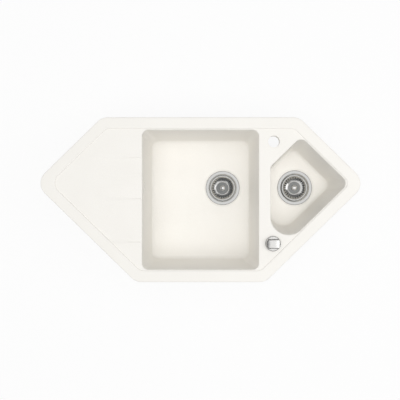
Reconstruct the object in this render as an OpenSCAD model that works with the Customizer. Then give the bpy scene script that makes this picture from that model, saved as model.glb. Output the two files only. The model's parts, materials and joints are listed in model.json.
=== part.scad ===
// Corner kitchen sink of moulded granite composite: a main bowl, a small five-sided bowl, a drainer,
// two basket strainers with their wastes, an overflow, a turning knob that lifts the main basket,
// and the clamps that hold the rim down on the worktop.
// Millimetres. Z = 0 is the worktop surface under the rim, the user stands on the -Y side.

/* [Rim and deck] */
// Overall width over the two tips
overall_w = 970; // [940:1:1000]
// Overall depth from front edge to back edge
overall_d = 500; // [490:1:520]
// How far behind the middle the two side tips lie
tip_y = 50; // [40:1:60]
// Sideways part of the slanted edges' direction; both parts of it are exact at six digits
slant_x = 0.715653; // [0.714614, 0.714887, 0.715653]
// Corner radius of the outline
corner_r = 44; // [38:1:50]
// Height of the rim above the worktop
rim_h = 8; // [7:0.5:10]
// Radius of the rim's top edge
rim_edge_r = 4; // [2:0.5:5]
// Flat width of the raised rim, before its inner rounding
rim_flat = 32; // [28:1:34]
// Drop from the rim to the deck, also the radius of that rounding
step_h = 3; // [2:0.5:4]
// Corner radius of the deck inside the rim
deck_corner_r = 32; // [28:1:36]
// Thickness of the deck
deck_t = 10; // [8:0.5:12]
// Width of the seat that lies on the worktop
seat_w = 10; // [9:0.5:11]

/* [Main bowl] */
// Width of the main bowl at deck level
main_w = 360; // [340:1:370]
// Floor level of the main bowl below the worktop surface
main_floor = 182; // [160:1:200]
// Corner radius of the bowls at deck level
bowl_corner_r = 28; // [27.5:0.5:40]
// Inward lean of the bowl walls from top to floor
draft = 12; // [10:0.5:12]
// Radius between wall and floor
floor_r = 12; // [8:0.5:12]
// Radius of the bowl's upper edge
bowl_edge_r = 3; // [2:0.5:3]
// Thickness of the bowl floor
floor_t = 10; // [8:0.5:12]
// How far the outside of a bowl stands off its deck outline
shell_off = 5; // [4:0.5:6]
// Distance of the main drain's centre from the bowl's right edge
main_drain_in = 104; // [96:1:130]
// How far behind the middle the drains and the overflow lie
drain_y = 40; // [30:1:50]

/* [Small bowl] */
// Deck between the two bowls
bowl_gap = 30; // [28:1:34]
// How far the small bowl's back corner stays clear of the rim's inner line
small_back_in = 20; // [16:1:26]
// Floor level of the small bowl below the worktop surface
small_floor = 146; // [130:1:170]
// Corner radius of its front point
small_front_r = 54; // [48:1:60]
// Distance of the small drain's centre from the bowl's left edge
small_drain_in = 105; // [100:1:110]

/* [Drain holes] */
// Radius of the hole in the floor for a 3 1/2 inch waste
drain_r = 45; // [44.5:0.1:46]
// Radius of the recess that takes the strainer flange
recess_r = 58.5; // [58:0.1:60]
// Depth of the shallow dish around the recess
dish_h = 2.5; // [1.5:0.1:3]

/* [Drainer] */
// Half width of the drainer recess
drainer_half = 129; // [120:1:135]
// Length of the recess beyond the main bowl
drainer_len = 180; // [160:1:200]
// Depth of the recess at the bowl
drainer_h = 2.5; // [1.5:0.1:3]
// Front edge of the deeper channel
channel_y = 2.4; // [0:0.1:6]
// Width of the deeper channel
channel_w = 71; // [60:1:80]
// Further depth of the channel at the bowl
channel_h = 2; // [1:0.1:2.5]

/* [Holes in the deck] */
// Distance of the tap hole's centre from the main bowl
tap_side = 43; // [40:0.5:44]
// Distance of the tap hole's centre from the rim's inner line at the back
tap_back = 38.6; // [36:0.1:42]
// Radius of the tap hole and of the knob hole
deck_hole_r = 17.5; // [17:0.1:18]
// Distance of the knob's centre from the small bowl's left edge, sideways
knob_side = 9.5; // [6:0.5:10]
// How far the knob lies in front of the centre of the small bowl's front rounding
knob_front = 73.1; // [72:0.1:78]
// Height of the overflow slot's centre below the worktop surface
overflow_z = 35; // [30:1:45]
// Length and height of the overflow slot
overflow_slot = [31, 9];

/* [Strainers] */
// Radius of the strainer flange
flange_r = 57; // [56.5:0.1:58]
// Sheet thickness of strainer and basket
sheet_t = 1.2; // [1:0.1:1.5]
// Inner radius of the strainer cup
cup_r = 43; // [42.5:0.1:43.2]
// Depth of the cup below its flange
cup_h = 26; // [24:0.5:28]
// Number of slots in a basket
slots = 26; // [20:1:32]
// Lift of the main basket
lift = 10; // [8:0.5:10]

/* [Pipes] */
// Outer radius of the drain pipes
pipe_r = 20; // [19.9:0.05:20.1]
// Wall of the drain pipes
pipe_t = 2; // [1.8:0.1:2.5]
// Level of the cross pipe's axis below the main strainer flange
cross_drop = 112; // [108:1:120]
// Outer radius of the overflow pipe
overflow_r = 10; // [9:0.5:10]

/* [Clamps] */
// Distance of the clamp screws from the outline
clamp_in = 18; // [17:0.5:19]
// Thickest worktop that the clamps reach under
worktop_t = 40; // [30:1:40]

/* [Fits] */
// Radial clearance of turning and sliding parts
run_gap = 0.05; // [0.02:0.01:0.1]
// Clearance around seated parts
seat_gap = 0.2; // [0.1:0.05:0.3]

/* [Hidden] */
e = 0.01;
tangent_gap = 0.2;
deck_z = rim_h - step_h;
under_z = deck_z - deck_t;
ring_w = rim_flat + step_h;
slope = slant_x / (round(sqrt(1 - slant_x * slant_x) * 1000000) / 1000000);
spare = atan2(0.07584, 0.99712);
half_tip = atan(1 / slope);
tip_x = overall_w / 2 + corner_r * (1 / sin(half_tip) - 1);
back_half = tip_x - slope * (overall_d / 2 - tip_y);
front_half = tip_x - slope * (overall_d / 2 + tip_y);
rim_line = [[-front_half, -overall_d / 2], [front_half, -overall_d / 2], [tip_x, tip_y],
  [back_half, overall_d / 2], [-back_half, overall_d / 2], [-tip_x, tip_y]];
deck_line = inset(rim_line, ring_w);
bowl_depth = bowl_edge_r + draft + floor_r + 0.5;
main_half = overall_d / 2 - ring_w;
main_line = [[-main_w / 2, -main_half], [main_w / 2, -main_half],
  [main_w / 2, main_half], [-main_w / 2, main_half]];
main_rs = [for (i = [0:3]) bowl_corner_r];
small_left = main_w / 2 + bowl_gap;
small_back_y = deck_line[3][1] - small_back_in;
small_back_x = deck_line[2][0] - slope * (small_back_y - deck_line[2][1]);
small_turn_y = small_back_y - (small_back_x - small_left) / slope;
small_line = [[small_left, y_at(deck_line[1], deck_line[2], small_left)], deck_line[2],
  [small_back_x, small_back_y], [small_left, small_turn_y]];
small_rs = [small_front_r, bowl_corner_r, bowl_corner_r, bowl_corner_r];
deck_rs = [for (i = [0:5]) i == 2 ? bowl_corner_r : deck_corner_r];
main_drain = [main_w / 2 - main_drain_in, drain_y];
small_drain = [small_left + small_drain_in, drain_y];
tap_at = [main_w / 2 + tap_side, deck_line[3][1] - tap_back];
// To a tenth of a millimetre
knob_at = [small_left + knob_side,
  round(10 * (centre_at(small_line, 0, small_front_r)[1] - knob_front)) / 10];
far = 400;
boss_h = 4;
recess_drop = 2.2;
main_top = -main_floor - dish_h - 0.3;
small_top = -small_floor - dish_h - 0.3;
under_drop = floor_t + boss_h - dish_h - 0.3;
pad_x = -main_w / 2 - 16;
overflow_y = drain_y;
pipe_x = pad_x - 22;
port_x = flange_r + 21;
socket_r = 23.5;
body_drop = 82;
cross_z = main_top - cross_drop;
knob_z = deck_z;
screw_foot = -worktop_t - 4;
clamps = [[0, 0.2], [0, 0.8], [1, 0.5], [2, 0.5], [3, 0.18], [3, 0.82], [4, 0.5], [5, 0.5]];

// Plane geometry of a convex outline given by its sharp corners, counter-clockwise
function unit(v) = v / norm(v);
function cyc(v, i) = v[(i + len(v)) % len(v)];
function heading(p, i) = unit(cyc(p, i + 1) - cyc(p, i));
function outward(d) = [d[1], -d[0]];
function half_angle(p, i) = acos(-heading(p, i - 1) * heading(p, i)) / 2;
function turn_at(p, i) = 180 - 2 * half_angle(p, i);
function bisector(p, i) = unit(heading(p, i) - heading(p, i - 1));
function centre_at(p, i, r) = cyc(p, i) + bisector(p, i) * r / sin(half_angle(p, i));
function inset(p, s) = [for (i = [0:len(p) - 1]) centre_at(p, i, s)];
function reach(p, i, r) = r / tan(half_angle(p, i));
function arrive(p, rs, i) = cyc(p, i) - heading(p, i - 1) * reach(p, i, cyc(rs, i));
function leave(p, rs, i) = cyc(p, i) + heading(p, i) * reach(p, i, cyc(rs, i));
function heading_angle(d) = atan2(d[1], d[0]);
function turned(v, a) = [v[0] * cos(a) - v[1] * sin(a), v[0] * sin(a) + v[1] * cos(a)];
function y_at(a, b, x) = a[1] + (b[1] - a[1]) * (x - a[0]) / (b[0] - a[0]);
function plus(rs, s) = [for (r = rs) r + s];

// A number keeps six digits on its way to the solids, so a place far out is reached in three steps
module place(v) {
  a = [floor(v[0]), floor(v[1])];
  b = [floor((v[0] - a[0]) * 1000) / 1000, floor((v[1] - a[1]) * 1000) / 1000];
  translate([a[0], a[1], 0]) translate([b[0], b[1], 0])
    translate([v[0] - a[0] - b[0], v[1] - a[1] - b[1], 0]) children();
}

// A section drawn as distance from the outline (inwards is negative) and height, carried round the
// outline: straight runs are extruded, corners are revolved about their own centres, and a flat
// core fills the middle. Every plane, cone and ring rounding stays a true surface. Runs and corners
// are drawn a little long and cut off at one shared plane, so that they meet without a crack.
module swept(p, rs, depth, z0, z1) {
  band(p, rs) children();
  core(p, rs, depth, z0, z1);
}

module band(p, rs) {
  for (i = [0:len(p) - 1]) {
    difference() {
      corner_frame(p, rs, i + 1, i) translate([cyc(rs, i + 1), 0, 0]) rotate([90, 0, 0])
        linear_extrude(norm(arrive(p, rs, i + 1) - leave(p, rs, i)) + 1) children();
      corner_frame(p, rs, i, i) half_space(-1);
    }
    difference() {
      corner_frame(p, rs, i, i - 1) rotate([0, 0, -spare])
        rotate_extrude(angle = turn_at(p, i) + 2 * spare, $fn = 96) translate([cyc(rs, i), 0]) children();
      corner_frame(p, rs, i, i - 1) half_space(-1);
      corner_frame(p, rs, i, i) half_space(1);
    }
  }
}

// The centre of corner i, turned so that +X points square out of edge j and +Y along it
module corner_frame(p, rs, i, j) {
  place(centre_at(p, i, cyc(rs, i))) rotate([0, 0, heading_angle(outward(heading(p, j)))]) children();
}

module half_space(side) {
  translate([-far, side < 0 ? -far : 0, -far]) cube([2 * far, far, 2 * far]);
}

module core(p, rs, depth, z0, z1) {
  translate([0, 0, z0]) linear_extrude(z1 - z0)
    polygon([for (i = [0:len(p) - 1]) each core_corner(p, rs, i, depth - 1)]);
}

function core_corner(p, rs, i, d) =
  let (o = outward(heading(p, i - 1)), q = cyc(rs, i) - d, t = turn_at(p, i))
  q > 0.01 ? [for (k = [0:6]) centre_at(p, i, cyc(rs, i)) + q * turned(o, t * k / 6)]
    : [cyc(p, i) + bisector(p, i) * d / sin(half_angle(p, i))];

// Part of a disc between two directions
module pie(c, r, a0, a1) {
  m = (a0 + a1) / 2;
  intersection() {
    translate(c) circle(r = r, $fn = 72);
    polygon([c, c + 2 * r * [cos(a0), sin(a0)], c + 2.5 * r * [cos(m), sin(m)],
      c + 2 * r * [cos(a1), sin(a1)]]);
  }
}

// Section of a leaning wall that runs into a floor through a rounding
module wall_section(depth, top, start, floor_z, lean, r, up) {
  alpha = atan(lean / (top - floor_z));
  cx = start - lean * (top - floor_z - r) / (top - floor_z) - r / cos(alpha);
  c = [cx, floor_z + r];
  t = c + r * [cos(alpha), -sin(alpha)];
  pie(c, r, -90, -alpha);
  polygon([[-depth, floor_z], [cx, floor_z], c + 0.4 * r * [cos(45), -sin(45)], t,
    [start, top], if (up > top) [start, up], [-depth, up]]);
}

// The hollow of a bowl: leaning walls and a rounded floor below, the rounded upper edge above
module bowl_space(line, rs, floor_z) {
  edge_z = deck_z - bowl_edge_r;
  swept(line, rs, bowl_depth, floor_z, edge_z)
    wall_section(bowl_depth, edge_z, -bowl_edge_r, floor_z, draft, floor_r, edge_z);
  swept(line, rs, bowl_depth, edge_z - e, rim_h + 1) difference() {
    translate([-bowl_depth, edge_z - e]) square([bowl_depth - tangent_gap, rim_h + 1 - edge_z + e]);
    translate([0, edge_z]) circle(r = bowl_edge_r, $fn = 72);
  }
}

module bowl_shell(line, rs, floor_z) {
  swept(inset(line, -shell_off), plus(rs, shell_off), draft + 20, floor_z - floor_t, under_z + 1)
    wall_section(draft + 20, under_z + 1, 0, floor_z - floor_t, draft, 19, under_z + 1 + e);
}

module drain_hole(at, top) {
  translate([at[0], at[1], top - 40]) cylinder(r = drain_r, h = 60, $fn = 96);
  translate([at[0], at[1], top - recess_drop]) cylinder(r = recess_r, h = 30, $fn = 96);
  translate([at[0], at[1], top - recess_drop - 4]) cylinder(r1 = drain_r, r2 = drain_r + 4, h = 4 + e, $fn = 96);
  translate([at[0], at[1], top + 0.3]) cylinder(r1 = recess_r + 0.8, r2 = recess_r + 5.8, h = dish_h + e, $fn = 96);
}

// A sloping channel in the drainer that opens into the main bowl; it starts 10 mm early, above the
// deck, so that its floor meets the deck along a clean line
module channel(y0, w, len, h, side, lift_z) {
  a = atan(h / len);
  translate([-main_w / 2 - len - 10, y0, lift_z + 10 * tan(a)]) rotate([0, a, 0]) rotate([90, 0, 90])
    linear_extrude(len + 22)
      polygon([[side, 0], [w - side, 0], [w + side, 12], [-side, 12]]);
}

// The solid before anything is cut away
module body_blank() {
  // The rim plate, with its rounded top edge
  swept(rim_line, [for (q = rim_line) corner_r], 20, 0, rim_h) {
    pie([-rim_edge_r, rim_h - rim_edge_r], rim_edge_r, 0, 90);
    polygon([[-20, 0], [0, 0], [0, rim_h - rim_edge_r],
      [-0.5 * rim_edge_r, rim_h - 0.5 * rim_edge_r - 0.3], [-rim_edge_r, rim_h], [-20, rim_h]]);
  }
  // The deck below the seat, which drops into the cut-out
  swept(inset(rim_line, seat_w), [for (q = rim_line) corner_r - seat_w], 15, under_z, 1)
    translate([-15, under_z]) square([15, 1 - under_z]);
  bowl_shell(main_line, main_rs, -main_floor);
  bowl_shell(small_line, small_rs, -small_floor);
  // Thicker ground under each drain, under the deck holes and behind the overflow slot
  for (s = [[main_drain, main_top], [small_drain, small_top]])
    translate([s[0][0], s[0][1], s[1] - under_drop]) cylinder(r = 66, h = boss_h + 2, $fn = 96);
  for (h = [tap_at, knob_at]) translate([h[0], h[1], under_z - 7]) cylinder(r = 27, h = 8, $fn = 96);
  translate([pad_x, overflow_y - 30, -overflow_z - 15]) cube([22, 60, 30]);
}

// The step from the rim down to the deck; at the right tip it shares the small bowl's corner
module deck_step() {
  swept(inset(rim_line, rim_flat), plus(deck_rs, step_h), 20, deck_z, rim_h + 1)
    difference() {
      translate([-20, deck_z]) square([20 - tangent_gap, rim_h + 1 - deck_z]);
      translate([0, deck_z]) circle(r = step_h, $fn = 72);
    }
}

module overflow_hole() {
  slot_x = overflow_slot[0] / 2 - overflow_slot[1] / 2;
  for (s = [-1, 1]) translate([pad_x - 1, overflow_y + s * slot_x, -overflow_z]) rotate([0, 90, 0])
    cylinder(r = overflow_slot[1] / 2, h = 40, $fn = 48);
  translate([pad_x - 1, overflow_y - slot_x, -overflow_z - overflow_slot[1] / 2])
    cube([40, 2 * slot_x, overflow_slot[1]]);
  for (s = [-1, 1]) translate([pad_x - 1, overflow_y + s * 23, -overflow_z]) rotate([0, 90, 0])
    cylinder(r = 2, h = 11, $fn = 32);
}

module body_with_bowls() {
  difference() {
    difference() {
      difference() {
        union() body_blank();
        deck_step();
      }
      bowl_space(main_line, main_rs, -main_floor);
    }
    bowl_space(small_line, small_rs, -small_floor);
  }
}

module sink_body() {
  color("#EFEEE9") difference() {
    difference() {
      difference() {
        body_with_bowls();
        intersection() {
          channel(-drainer_half, 2 * drainer_half, drainer_len, drainer_h, 2, deck_z);
          linear_extrude(40, center = true) polygon(inset(rim_line, ring_w + 1));
        }
        channel(channel_y, channel_w, drainer_len - 40, drainer_h + channel_h, 6, deck_z - 0.6);
      }
      seal_band(0, -1);
    }
    drain_hole(main_drain, main_top);
    drain_hole(small_drain, small_top);
    for (h = [tap_at, knob_at]) translate([h[0], h[1], -20]) cylinder(r = deck_hole_r, h = 40, $fn = 96);
    overflow_hole();
    for (c = clamps) at_clamp(c) translate([0, 0, under_z - 1]) cylinder(r = 4.5, h = 9, $fn = 48);
  }
}

// The seal under the rim lies in a groove, set in from the outline and open below
module seal_band(gap, z0) {
  s = 3.5 + gap;
  band(inset(rim_line, s), [for (q = rim_line) corner_r - s])
    translate([-5 + 2 * gap, z0]) square([5 - 2 * gap, 1.5 - z0]);
}

module rim_seal() {
  color("#2B2C2E") seal_band(0.1, 0);
}

// Strainer parts, drawn with the flange top at z = 0
module ring(ri, ro, z0, z1, fn = 96) {
  rotate_extrude($fn = fn) translate([ri, z0]) square([ro - ri, z1 - z0]);
}

module spokes(n, r, w, z0, z1, turn = 0, from = 0) {
  for (k = [0:n - 1]) rotate([0, 0, turn + 360 * k / n])
    translate([from, -w / 2, z0]) cube([r - from, w, z1 - z0]);
}

module strainer_cup(bolt_r) {
  t = sheet_t;
  difference() {
    union() {
      rotate_extrude($fn = 96) polygon([[cup_r + 4.9, 0], [flange_r - 0.6, 0], [flange_r, -0.6],
        [flange_r, -t], [cup_r + 6, -t], [cup_r + t, -6 + t / 2], [cup_r + t, -cup_h - t],
        [21, -cup_h - t], [21, -cup_h], [cup_r, -cup_h], [cup_r, -5]]);
      spokes(4, 22, 4, -cup_h - t, -cup_h, 45);
      translate([0, 0, -cup_h - t]) cylinder(r = 9, h = t, $fn = 48);
    }
    translate([0, 0, -cup_h - 3]) cylinder(r = bolt_r + seat_gap, h = 6, $fn = 48);
  }
}

module clamp_bolt(bore) {
  difference() {
    union() {
      translate([0, 0, -cup_h]) cylinder(r = 8, h = 2.5, $fn = 48);
      translate([0, 0, -40]) cylinder(r = 6, h = 40 - cup_h + 1, $fn = 48);
    }
    if (bore > 0) translate([0, 0, -50]) cylinder(r = bore, h = 60, $fn = 48);
    else translate([-9, -0.8, -cup_h + 1.2]) cube([18, 1.6, 3]);
  }
}

module basket() {
  t = sheet_t;
  difference() {
    union() {
      rotate_extrude($fn = 96) polygon([[0, -11.4], [25.5, -11.4], [39.6, -4.3], [42.3, -4.3],
        [42.3, -4.3 - t], [39.8, -4.3 - t], [25.7, -11.4 - t], [5, -11.4 - t], [5, -21.8],
        [25, -21.8], [25, -23], [14, -23], [14, -25.4], [12.4, -25.4], [12.4, -23], [0, -23]]);
    }
    for (k = [0:slots - 1]) rotate([0, 0, 360 * k / slots]) {
      translate([33, -1.5, -14]) cube([7, 3, 14]);
      translate([33, 0, -14]) cylinder(r = 1.5, h = 14, $fn = 24);
    }
  }
}

module basket_knob() {
  rotate_extrude($fn = 72) {
    polygon([[0, -11.4], [7, -11.4], [7, -10.6], [3.6, -9.6], [3.6, -6.2], [8, -5.2], [8, -2.2], [0, -2.2]]);
    translate([8, -3.7]) circle(r = 1.5, $fn = 48);
    translate([0, -5.2]) square([8, 3]);
  }
}

module waste_body_solid() {
  rotate_extrude($fn = 96) polygon([[42.5 + 4, -under_drop - 2], [62, -under_drop - 2],
    [62, -under_drop - 6], [50, -under_drop - 6], [50, -38], [socket_r, -56], [socket_r, -body_drop],
    [pipe_r + 0.3, -body_drop], [pipe_r + 0.3, -57], [46.5, -39.5]]);
  for (k = [0:11]) rotate([0, 0, 30 * k + 15]) translate([49, -1.5, -30]) cube([10, 3, 30 - under_drop - 4]);
  ring(pipe_r - 2, pipe_r + 1, -58.5, -57);
}

module waste_spider() {
  difference() {
    union() {
      translate([0, 0, -40]) cylinder(r = 9.5, h = 9, $fn = 48);
      intersection() {
        spokes(3, 49, 3, -39, -32, 90, 8);
        cylinder(r = 48, h = 200, center = true, $fn = 96);
      }
    }
    translate([0, 0, -50]) cylinder(r = 6.05, h = 60, $fn = 48);
  }
}

lever_x = 18;
lever_z = -50;
lever_a = asin(lift / 2 / lever_x);
gland_z = lever_z - 22;

module main_waste_body() {
  color("#C9CCCE") translate([main_drain[0], main_drain[1], main_top]) {
    difference() {
      union() {
        waste_body_solid();
        translate([-port_x, 0, -31]) rotate([0, 90, 0]) cylinder(r = 13.5, h = port_x - 46, $fn = 72);
        translate([lever_x, -42, lever_z]) rotate([-90, 0, 0]) cylinder(r = 7, h = 24, $fn = 48);
        // Tab that carries the cable gland
        translate([34, -52, gland_z - 8]) cube([6, 12, -gland_z + 8 - under_drop - 5]);
      }
      translate([-port_x - 8, 0, -31]) rotate([0, 90, 0])
        cylinder(r = overflow_r + seat_gap, h = port_x - 34, $fn = 72);
      intersection() {
        translate([lever_x, -42, lever_z]) rotate([-90, 0, 0]) cylinder(r = 8, h = 24, $fn = 48);
        rotate_extrude($fn = 96) polygon([[0, -38], [46.5, -38], [46.5, -39.5], [pipe_r + 0.3, -57],
          [0, -57]]);
      }
      translate([lever_x, -60, lever_z]) rotate([-90, 0, 0]) cylinder(r = 3 + run_gap, h = 60, $fn = 48);
      translate([30, -46, gland_z]) rotate([0, 90, 0]) cylinder(r = 4 + run_gap, h = 14, $fn = 48);
    }
    waste_spider();
  }
}

module small_waste_body() {
  color("#C9CCCE") translate([small_drain[0], small_drain[1], small_top]) {
    waste_body_solid();
    waste_spider();
  }
}

module at_main() translate([main_drain[0], main_drain[1], main_top]) children();
module at_small() translate([small_drain[0], small_drain[1], small_top]) children();

module top_seal() ring(50, 57.5, -recess_drop, -sheet_t);
module lower_seal() ring(drain_r + 3, 60, -under_drop - 2, -under_drop);
module basket_seal() ring(14 + 0.1, 24, -cup_h, -23);

module main_strainer_cup() { color("#D5D7D9") at_main() strainer_cup(6); }
module main_top_seal() { color("#2A2A2B") at_main() top_seal(); }
module main_lower_seal() { color("#2A2A2B") at_main() lower_seal(); }
module main_clamp_bolt() { color("#C7C9CC") at_main() clamp_bolt(4 + run_gap); }
module main_basket() { color("#DADCDE") at_main() basket(); }
module main_basket_seal() { color("#242425") at_main() basket_seal(); }
module main_basket_knob() { color("#E3E5E7") at_main() basket_knob(); }
module small_strainer_cup() { color("#D5D7D9") at_small() strainer_cup(6); }
module small_top_seal() { color("#2A2A2B") at_small() top_seal(); }
module small_lower_seal() { color("#2A2A2B") at_small() lower_seal(); }
module small_clamp_bolt() { color("#C7C9CC") at_small() clamp_bolt(0); }
module small_basket() { color("#DADCDE") at_small() basket(); }
module small_basket_seal() { color("#242425") at_small() basket_seal(); }
module small_basket_knob() { color("#E3E5E7") at_small() basket_knob(); }

// The pin that pushes the main basket up, and the lever that pushes the pin
nose_r = 2.5;
pin_foot = lever_z - lever_x * sin(lever_a) + nose_r + run_gap;

module lift_pin() {
  color("#C7C9CC") at_main() translate([0, 0, pin_foot]) cylinder(r = 4, h = -23.02 - pin_foot, $fn = 48);
}

module lift_lever() {
  color("#B9BCC0") at_main() translate([lever_x, 0, lever_z]) rotate([0, -lever_a, 0]) {
    translate([0, -50, 0]) rotate([-90, 0, 0]) cylinder(r = 3, h = 54, $fn = 48);
    // Only the round nose meets the pin; the arm behind it lies lower
    translate([-lever_x, -4, -nose_r]) cube([lever_x, 8, nose_r + 1.2]);
    translate([-lever_x, -4, 0]) rotate([-90, 0, 0]) cylinder(r = nose_r, h = 8, $fn = 48);
    rotate([0, lever_a, 0]) translate([0, -47.5, 0]) difference() {
      union() {
        rotate([-90, 0, 0]) cylinder(r = 5.5, h = 3, $fn = 48);
        translate([-3.5, 0, -22]) cube([7, 3, 22]);
        translate([0, 0, -22]) rotate([-90, 0, 0]) cylinder(r = 3.5, h = 3, $fn = 48);
      }
      translate([0, -1, -22]) rotate([-90, 0, 0]) cylinder(r = 1.4, h = 5, $fn = 32);
    }
  }
}

module gland_turned(r, reach_out) {
  difference() {
    union() {
      cylinder(r = r, h = reach_out, $fn = 48);
      cylinder(r = r + 2.5, h = 3, $fn = 6);
    }
    translate([0, 0, -1]) cylinder(r = 1.6, h = reach_out + 2, $fn = 32);
  }
}

module lever_cable_gland() {
  color("#3A3C3F") at_main() translate([43, -46, gland_z]) rotate([0, -90, 0]) gland_turned(4, 12);
}

// The turning knob on the deck, drawn about its own axis
module at_knob() translate([knob_at[0], knob_at[1], 0]) children();

module knob_gasket() { color("#2A2A2B") at_knob() ring(18, 22.8, knob_z, knob_z + 0.8); }

module knob_rosette() {
  color("#DDE0E3") at_knob() rotate_extrude($fn = 96) {
    polygon([[16.2, knob_z + 0.8], [23.5, knob_z + 0.8], [23.5, knob_z + 2.8], [22, knob_z + 4.3],
      [16.2, knob_z + 4.3]]);
    pie([22, knob_z + 2.8], 1.5, 0, 90);
  }
}

module knob_housing() {
  color("#A8ABAF") at_knob() difference() {
    union() {
      translate([0, 0, knob_z + 4.3]) cylinder(r = 18.5, h = 1.5, $fn = 96);
      translate([0, 0, -42]) cylinder(r = 16, h = 42 + knob_z + 5, $fn = 96);
    }
    translate([0, 0, -50]) cylinder(r = 5 + run_gap, h = 80, $fn = 48);
  }
}

module knob_backnut() {
  color("#BFC2C5") at_knob() difference() {
    union() {
      translate([0, 0, under_z - 16]) cylinder(r = 24, h = 7, $fn = 6);
      translate([0, 0, under_z - 9]) cylinder(r = 25.5, h = 2, $fn = 96);
    }
    translate([0, 0, -60]) cylinder(r = 16 + run_gap, h = 80, $fn = 96);
  }
}

module control_knob() {
  color("#E3E5E7") at_knob() {
    difference() {
      union() {
        rotate_extrude($fn = 96) {
          polygon([[0, knob_z + 6.1], [22, knob_z + 6.1], [22, knob_z + 17], [19, knob_z + 20], [0, knob_z + 20]]);
          pie([19, knob_z + 17], 3, 0, 90);
        }
      }
      // Scooped finger recesses in front of and behind the grip
      for (s = [-1, 1]) translate([-40, s * 30, knob_z + 21]) rotate([0, 90, 0])
        cylinder(r = 17, h = 80, $fn = 96);
    }
    translate([0, 0, -45]) cylinder(r = 5, h = 45 + knob_z + 7, $fn = 48);
    translate([0, 0, -49]) cylinder(r = 3, h = 6, $fn = 48);
  }
}

module knob_drum() {
  color("#4A4D50") at_knob() difference() {
    union() {
      translate([0, 0, -49]) cylinder(r = 12, h = 1.5, $fn = 72);
      translate([0, 0, -48]) cylinder(r = 9, h = 2, $fn = 72);
      translate([0, 0, -46.5]) cylinder(r = 12, h = 1.5, $fn = 72);
    }
    translate([0, 0, -50]) cylinder(r = 3, h = 10, $fn = 48);
    translate([9.5, 0, -50]) cylinder(r = 1, h = 10, $fn = 24);
  }
}

module drum_cover() {
  color("#3F4245") at_knob() difference() {
    union() {
      translate([0, 0, -54]) cylinder(r = 19, h = 16, $fn = 96);
      translate([-30, -18, -52]) cube([30, 12, 9]);
    }
    translate([0, 0, -52]) cylinder(r = 13, h = 10, $fn = 96);
    translate([0, 0, -43]) cylinder(r = 16, h = 10, $fn = 96);
    translate([-40, -12, -47.5]) rotate([0, 90, 0]) cylinder(r = 3 + run_gap, h = 40, $fn = 48);
  }
}

module drum_cable_gland() {
  color("#5A5D60") at_knob() translate([-36, -12, -47.5]) rotate([0, 90, 0]) gland_turned(3, 16);
}

// Overflow: fitting behind the slot, pipe down and across to the main waste
module overflow_gasket() {
  color("#2A2A2B") translate([pad_x - 2, overflow_y, -overflow_z]) difference() {
    translate([0, -28, -13]) cube([2, 56, 26]);
    translate([-1, -overflow_slot[0] / 2, -overflow_slot[1] / 2]) cube([4, overflow_slot[0], overflow_slot[1]]);
    for (s = [-1, 1]) translate([-1, s * 23, 0]) rotate([0, 90, 0]) cylinder(r = 2.2, h = 4, $fn = 32);
  }
}

module overflow_elbow() {
  color("#C9CCCE") translate([pad_x - 2, overflow_y, -overflow_z]) difference() {
    union() {
      translate([-4, -28, -13]) cube([4, 56, 26]);
      translate([-34, -18, -10]) cube([32, 36, 20]);
      translate([-20, 0, -36]) cylinder(r = 13.5, h = 30, $fn = 72);
    }
    translate([-31, -overflow_slot[0] / 2, -7]) cube([40, overflow_slot[0], 14]);
    translate([-20, 0, -40]) cylinder(r = overflow_r + seat_gap, h = 38, $fn = 72);
    for (s = [-1, 1]) translate([-6, s * 23, 0]) rotate([0, 90, 0]) cylinder(r = 2.2, h = 8, $fn = 32);
  }
}

module overflow_screws() {
  color("#B5B8BC") for (s = [-1, 1])
    translate([pad_x - 6, overflow_y + s * 23, -overflow_z]) rotate([0, 90, 0]) {
      cylinder(r = 2, h = 15.5, $fn = 32);
      translate([0, 0, -2.2]) cylinder(r = 4, h = 2.2, $fn = 32);
    }
}

module overflow_pipe() {
  bend = 32;
  z_low = main_top - 31;
  z_high = -overflow_z - 14;
  x_end = main_drain[0] - 50;
  color("#B9BDC0") difference() {
    union() {
      translate([pipe_x, overflow_y, z_low + bend]) cylinder(r = overflow_r, h = z_high - z_low - bend, $fn = 72);
      translate([pipe_x + bend, overflow_y, z_low]) rotate([0, 90, 0])
        cylinder(r = overflow_r, h = x_end - pipe_x - bend, $fn = 72);
      translate([pipe_x + bend, overflow_y, z_low + bend]) rotate([90, 0, 0]) rotate([0, 0, 180])
        rotate_extrude(angle = 90, $fn = 96) translate([bend, 0]) circle(r = overflow_r, $fn = 72);
    }
    translate([pipe_x, overflow_y, z_low + bend - e]) cylinder(r = overflow_r - 1.5, h = 300, $fn = 72);
    translate([pipe_x + bend - e, overflow_y, z_low]) rotate([0, 90, 0])
      cylinder(r = overflow_r - 1.5, h = 400, $fn = 72);
    translate([pipe_x + bend, overflow_y, z_low + bend]) rotate([90, 0, 0]) rotate([0, 0, 180])
      rotate_extrude(angle = 90, $fn = 96) translate([bend, 0]) circle(r = overflow_r - 1.5, $fn = 72);
  }
}

// A union nut drawn with its mouth at z = 0 and its closed end at z = h
module union_nut(thread, bore, h, ribs) {
  difference() {
    union() {
      cylinder(r = thread + 3, h = h, $fn = 72);
      for (k = [0:ribs - 1]) rotate([0, 0, 360 * k / ribs]) translate([thread + 1, -1.5, 0]) cube([3.6, 3, h - 1]);
    }
    translate([0, 0, -1]) cylinder(r = thread, h = h - 3 + 1, $fn = 72);
    translate([0, 0, -1]) cylinder(r = bore, h = h + 2, $fn = 72);
  }
}

module overflow_nuts() {
  color("#D8DADC") {
    translate([pipe_x, overflow_y, -overflow_z - 36 + 12]) rotate([180, 0, 0])
      union_nut(13.5, overflow_r + seat_gap, 16, 10);
    translate([main_drain[0] - port_x + 12, overflow_y, main_top - 31]) rotate([0, -90, 0])
      union_nut(13.5, overflow_r + seat_gap, 16, 10);
  }
}

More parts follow.
